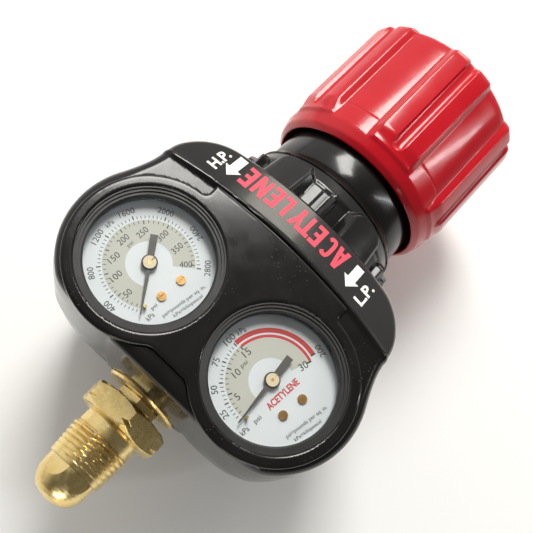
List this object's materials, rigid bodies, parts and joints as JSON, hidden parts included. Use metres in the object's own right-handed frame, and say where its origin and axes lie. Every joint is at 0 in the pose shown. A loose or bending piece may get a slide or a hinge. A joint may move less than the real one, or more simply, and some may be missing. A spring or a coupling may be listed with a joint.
{
  "type": "gas regulator",
  "caption": "Cylinder gas regulator with coaxial inlet nut and adjusting knob, paired dial gauges in a black shroud, and a downward hose outlet.",
  "frame": {"origin": "on the inlet axis, at the open end of the inlet nut's thread", "axes": "+X along the inlet and knob axis towards the knob, +Z out of the gauge faces, +Y towards the high-pressure gauge"},
  "size_m": [0.2067, 0.1102, 0.097],
  "materials": {
    "brass": "machined and forged, satin",
    "bronze": "sintered or turned bronze",
    "steel": "bright steel",
    "spring_steel": "drawn wire",
    "black_gloss": "moulded, high gloss",
    "black_satin": "satin coated die casting",
    "black_plastic": "plain moulded, fine grain",
    "red_plastic": "moulded, gloss",
    "rubber": "fabric reinforced rubber",
    "aluminium": "turned",
    "dial_white": "printed white dial",
    "pointer_grey": "satin paint",
    "lens_clear": "clear polycarbonate",
    "case_black": "black enamel",
    "gear_brass": "stamped"
  },
  "bodies": {
    "regulator": {"inlet_nipple": "brass", "inlet_filter": "bronze", "regulator_body": "brass", "seat_nozzle": "brass", "valve_spring": "spring_steel", "diaphragm": "rubber", "diaphragm_slip_ring": "steel", "bonnet": "black_satin", "bonnet_collar": "black_satin", "adjusting_spring": "spring_steel", "thread_insert": "bronze", "outlet_fitting": "brass", "relief_body": "brass", "relief_spring": "spring_steel", "shroud_cover": "black_gloss", "face_plate": "black_gloss", "shroud_base": "black_plastic", "shroud_screws": "steel", "high_gauge_case": "case_black", "high_gauge_socket": "brass", "high_bourdon_tube": "bronze", "high_movement": "gear_brass", "high_hairspring": "spring_steel", "high_dial": "dial_white", "high_dial_screws": "brass", "high_stop_pin": "brass", "high_gauge_lens": "lens_clear", "high_gauge_bezel": "black_plastic", "low_gauge_case": "case_black", "low_gauge_socket": "brass", "low_bourdon_tube": "bronze", "low_movement": "gear_brass", "low_hairspring": "spring_steel", "low_dial": "dial_white", "low_dial_screws": "brass", "low_stop_pin": "brass", "low_gauge_lens": "lens_clear", "low_gauge_bezel": "black_plastic"},
    "nut": {"inlet_nut": "brass"},
    "button": {"spring_button": "steel", "thrust_ball": "steel"},
    "knob": {"knob": "red_plastic", "knob_cap": "red_plastic", "knob_screw": "steel", "adjusting_screw": "steel"},
    "plate": {"diaphragm_plate": "aluminium"},
    "valve": {"valve_stem": "steel"},
    "relief": {"relief_poppet": "brass"},
    "high_pointer": {"high_pointer": "pointer_grey", "high_pinion": "gear_brass"},
    "high_sector": {"high_sector_gear": "gear_brass"},
    "high_link": {"high_tube_link": "gear_brass"},
    "low_pointer": {"low_pointer": "pointer_grey", "low_pinion": "gear_brass"},
    "low_sector": {"low_sector_gear": "gear_brass"},
    "low_link": {"low_tube_link": "gear_brass"}
  },
  "joints": [
    {"name": "nut_spin", "type": "hinge", "parent": "regulator", "child": "nut", "pos_m": [0.013, 0, 0], "axis": [1, 0, 0], "continuous": true},
    {"name": "knob_travel", "type": "slide", "parent": "regulator", "child": "button", "axis": [-1, 0, 0], "range_m": [0, 0.006], "deforming": ["adjusting_spring"]},
    {"name": "knob_turn", "type": "hinge", "parent": "button", "child": "knob", "pos_m": [0.16, 0, 0], "axis": [-1, 0, 0], "range_deg": [0, 1440]},
    {"name": "diaphragm_lift", "type": "slide", "parent": "regulator", "child": "plate", "axis": [-1, 0, 0], "range_m": [0, 0.0006], "deforming": ["diaphragm"]},
    {"name": "valve_lift", "type": "slide", "parent": "regulator", "child": "valve", "axis": [-1, 0, 0], "range_m": [0, 0.0006], "deforming": ["valve_spring"]},
    {"name": "relief_lift", "type": "slide", "parent": "regulator", "child": "relief", "axis": [0, 0, -1], "range_m": [0, 0.0015], "stiffness_N_per_m": 1500, "springref_m": -0.002, "deforming": ["relief_spring"]},
    {"name": "high_sector_turn", "type": "hinge", "parent": "regulator", "child": "high_sector", "pos_m": [0.05518, 0.01503, 0.0314], "axis": [0, 0, 1], "range_deg": [0, 43.67], "stiffness_Nm_per_rad": 0.0007, "springref_deg": -5.73},
    {"name": "high_pointer_turn", "type": "hinge", "parent": "regulator", "child": "high_pointer", "pos_m": [0.056, 0.0255, 0.04], "axis": [0, 0, -1], "range_deg": [0, 262.01], "deforming": ["high_hairspring"]},
    {"name": "high_link_pull", "type": "slide", "parent": "regulator", "child": "high_link", "axis": [0.0785, 0.9969, 0], "range_m": [0, 0.00297], "deforming": ["high_bourdon_tube"]},
    {"name": "low_sector_turn", "type": "hinge", "parent": "regulator", "child": "low_sector", "pos_m": [0.05459, -0.0359, 0.0314], "axis": [0, 0, 1], "range_deg": [0, 34], "stiffness_Nm_per_rad": 0.0007, "springref_deg": -5.73},
    {"name": "low_pointer_turn", "type": "hinge", "parent": "regulator", "child": "low_pointer", "pos_m": [0.056, -0.0255, 0.04], "axis": [0, 0, -1], "range_deg": [0, 204.01], "deforming": ["low_hairspring"]},
    {"name": "low_link_pull", "type": "slide", "parent": "regulator", "child": "low_link", "axis": [0.134, 0.991, 0], "range_m": [0, 0.00231], "deforming": ["low_bourdon_tube"]}
  ],
  "couplings": [
    {"joint": "knob_travel", "follows": "knob_turn", "m_per_rad": 0.00023873},
    {"joint": "diaphragm_lift", "follows": "knob_turn", "m_per_rad": 0.000023873},
    {"joint": "valve_lift", "follows": "knob_turn", "m_per_rad": 0.000023873},
    {"joint": "high_pointer_turn", "follows": "high_sector_turn", "ratio": 6},
    {"joint": "high_link_pull", "follows": "high_sector_turn", "m_per_rad": 0.0038961},
    {"joint": "low_pointer_turn", "follows": "low_sector_turn", "ratio": 6},
    {"joint": "low_link_pull", "follows": "low_sector_turn", "m_per_rad": 0.0038961}
  ]
}
